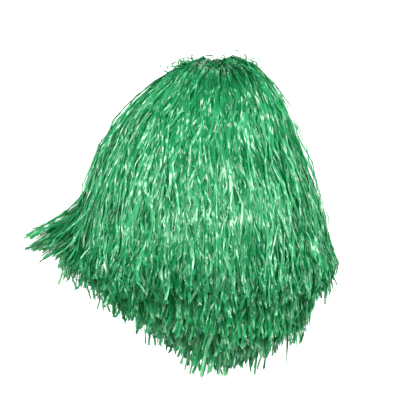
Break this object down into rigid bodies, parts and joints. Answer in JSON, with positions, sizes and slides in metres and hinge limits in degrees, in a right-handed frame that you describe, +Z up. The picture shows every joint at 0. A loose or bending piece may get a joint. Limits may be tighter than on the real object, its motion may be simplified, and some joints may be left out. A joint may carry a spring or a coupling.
{
  "type": "cheer pom pom",
  "caption": "Cheer pom pom: slit plastic film streamers bound on a hand stick, falling as a bell round the fist, with streamers lifted over the forearm.",
  "frame": {"origin": "centre of the hand grip, on the stick's axis", "axes": "+Z up the stick to the crown; the lifted streamers lie towards -X; the front faces -Y"},
  "size_m": [0.388, 0.336, 0.3761],
  "materials": {
    "outer_film": "crinkled translucent film",
    "middle_film": "crinkled translucent film",
    "inner_film": "crinkled translucent film",
    "handle_plastic": "moulded",
    "grip_foam": "foamed",
    "tie_nylon": "moulded",
    "binding_tape": "wound tape",
    "pin_steel": "drawn wire"
  },
  "bodies": {
    "handle": {"handle_tube": "handle_plastic", "grip_sleeve": "grip_foam", "butt_ferrule": "handle_plastic", "stop_collar": "handle_plastic", "top_plug": "handle_plastic", "plug_pin": "pin_steel", "outer_fall_header": "outer_film", "middle_fall_header": "middle_film", "inner_fall_header": "inner_film", "lower_cable_tie": "tie_nylon", "upper_cable_tie": "tie_nylon", "binding_tape": "binding_tape", "outer_crown": "outer_film", "middle_crown": "middle_film", "inner_crown": "inner_film"},
    "hank_01": {"outer_streamers_01": "outer_film", "middle_streamers_01": "middle_film", "inner_streamers_01": "inner_film"},
    "hank_02": {"outer_streamers_02": "outer_film", "middle_streamers_02": "middle_film", "inner_streamers_02": "inner_film"},
    "hank_03": {"outer_streamers_03": "outer_film", "middle_streamers_03": "middle_film", "inner_streamers_03": "inner_film"},
    "hank_04": {"outer_streamers_04": "outer_film", "middle_streamers_04": "middle_film", "inner_streamers_04": "inner_film"},
    "hank_05": {"outer_streamers_05": "outer_film", "middle_streamers_05": "middle_film", "inner_streamers_05": "inner_film"},
    "hank_06": {"outer_streamers_06": "outer_film", "middle_streamers_06": "middle_film", "inner_streamers_06": "inner_film"},
    "hank_07": {"outer_streamers_07": "outer_film", "middle_streamers_07": "middle_film", "inner_streamers_07": "inner_film"},
    "hank_08": {"outer_streamers_08": "outer_film", "middle_streamers_08": "middle_film", "inner_streamers_08": "inner_film"},
    "hank_09": {"outer_streamers_09": "outer_film", "middle_streamers_09": "middle_film", "inner_streamers_09": "inner_film"},
    "hank_10": {"outer_streamers_10": "outer_film", "middle_streamers_10": "middle_film", "inner_streamers_10": "inner_film"},
    "hank_11": {"outer_streamers_11": "outer_film", "middle_streamers_11": "middle_film", "inner_streamers_11": "inner_film"},
    "hank_12": {"outer_streamers_12": "outer_film", "middle_streamers_12": "middle_film", "inner_streamers_12": "inner_film"}
  },
  "joints": [
    {"name": "hank_01_swing", "type": "hinge", "parent": "handle", "child": "hank_01", "pos_m": [0.04661, 0.01249, 0.153], "axis": [0.2588, -0.9659, 0], "range_deg": [0, 70]},
    {"name": "hank_02_swing", "type": "hinge", "parent": "handle", "child": "hank_02", "pos_m": [0.03412, 0.03412, 0.153], "axis": [0.7071, -0.7071, 0], "range_deg": [0, 70]},
    {"name": "hank_03_swing", "type": "hinge", "parent": "handle", "child": "hank_03", "pos_m": [0.01249, 0.04661, 0.153], "axis": [0.9659, -0.2588, 0], "range_deg": [0, 70]},
    {"name": "hank_04_swing", "type": "hinge", "parent": "handle", "child": "hank_04", "pos_m": [-0.01249, 0.04661, 0.153], "axis": [0.9659, 0.2588, 0], "range_deg": [0, 70]},
    {"name": "hank_05_swing", "type": "hinge", "parent": "handle", "child": "hank_05", "pos_m": [-0.03412, 0.03412, 0.153], "axis": [0.7071, 0.7071, 0], "range_deg": [0, 70]},
    {"name": "hank_06_swing", "type": "hinge", "parent": "handle", "child": "hank_06", "pos_m": [-0.04661, 0.01249, 0.153], "axis": [0.2588, 0.9659, 0], "range_deg": [0, 70]},
    {"name": "hank_07_swing", "type": "hinge", "parent": "handle", "child": "hank_07", "pos_m": [-0.04661, -0.01249, 0.153], "axis": [-0.2588, 0.9659, 0], "range_deg": [0, 70]},
    {"name": "hank_08_swing", "type": "hinge", "parent": "handle", "child": "hank_08", "pos_m": [-0.03412, -0.03412, 0.153], "axis": [-0.7071, 0.7071, 0], "range_deg": [0, 70]},
    {"name": "hank_09_swing", "type": "hinge", "parent": "handle", "child": "hank_09", "pos_m": [-0.01249, -0.04661, 0.153], "axis": [-0.9659, 0.2588, 0], "range_deg": [0, 70]},
    {"name": "hank_10_swing", "type": "hinge", "parent": "handle", "child": "hank_10", "pos_m": [0.01249, -0.04661, 0.153], "axis": [-0.9659, -0.2588, 0], "range_deg": [0, 70]},
    {"name": "hank_11_swing", "type": "hinge", "parent": "handle", "child": "hank_11", "pos_m": [0.03412, -0.03412, 0.153], "axis": [-0.7071, -0.7071, 0], "range_deg": [0, 70]},
    {"name": "hank_12_swing", "type": "hinge", "parent": "handle", "child": "hank_12", "pos_m": [0.04661, -0.01249, 0.153], "axis": [-0.2588, -0.9659, 0], "range_deg": [0, 70]}
  ]
}
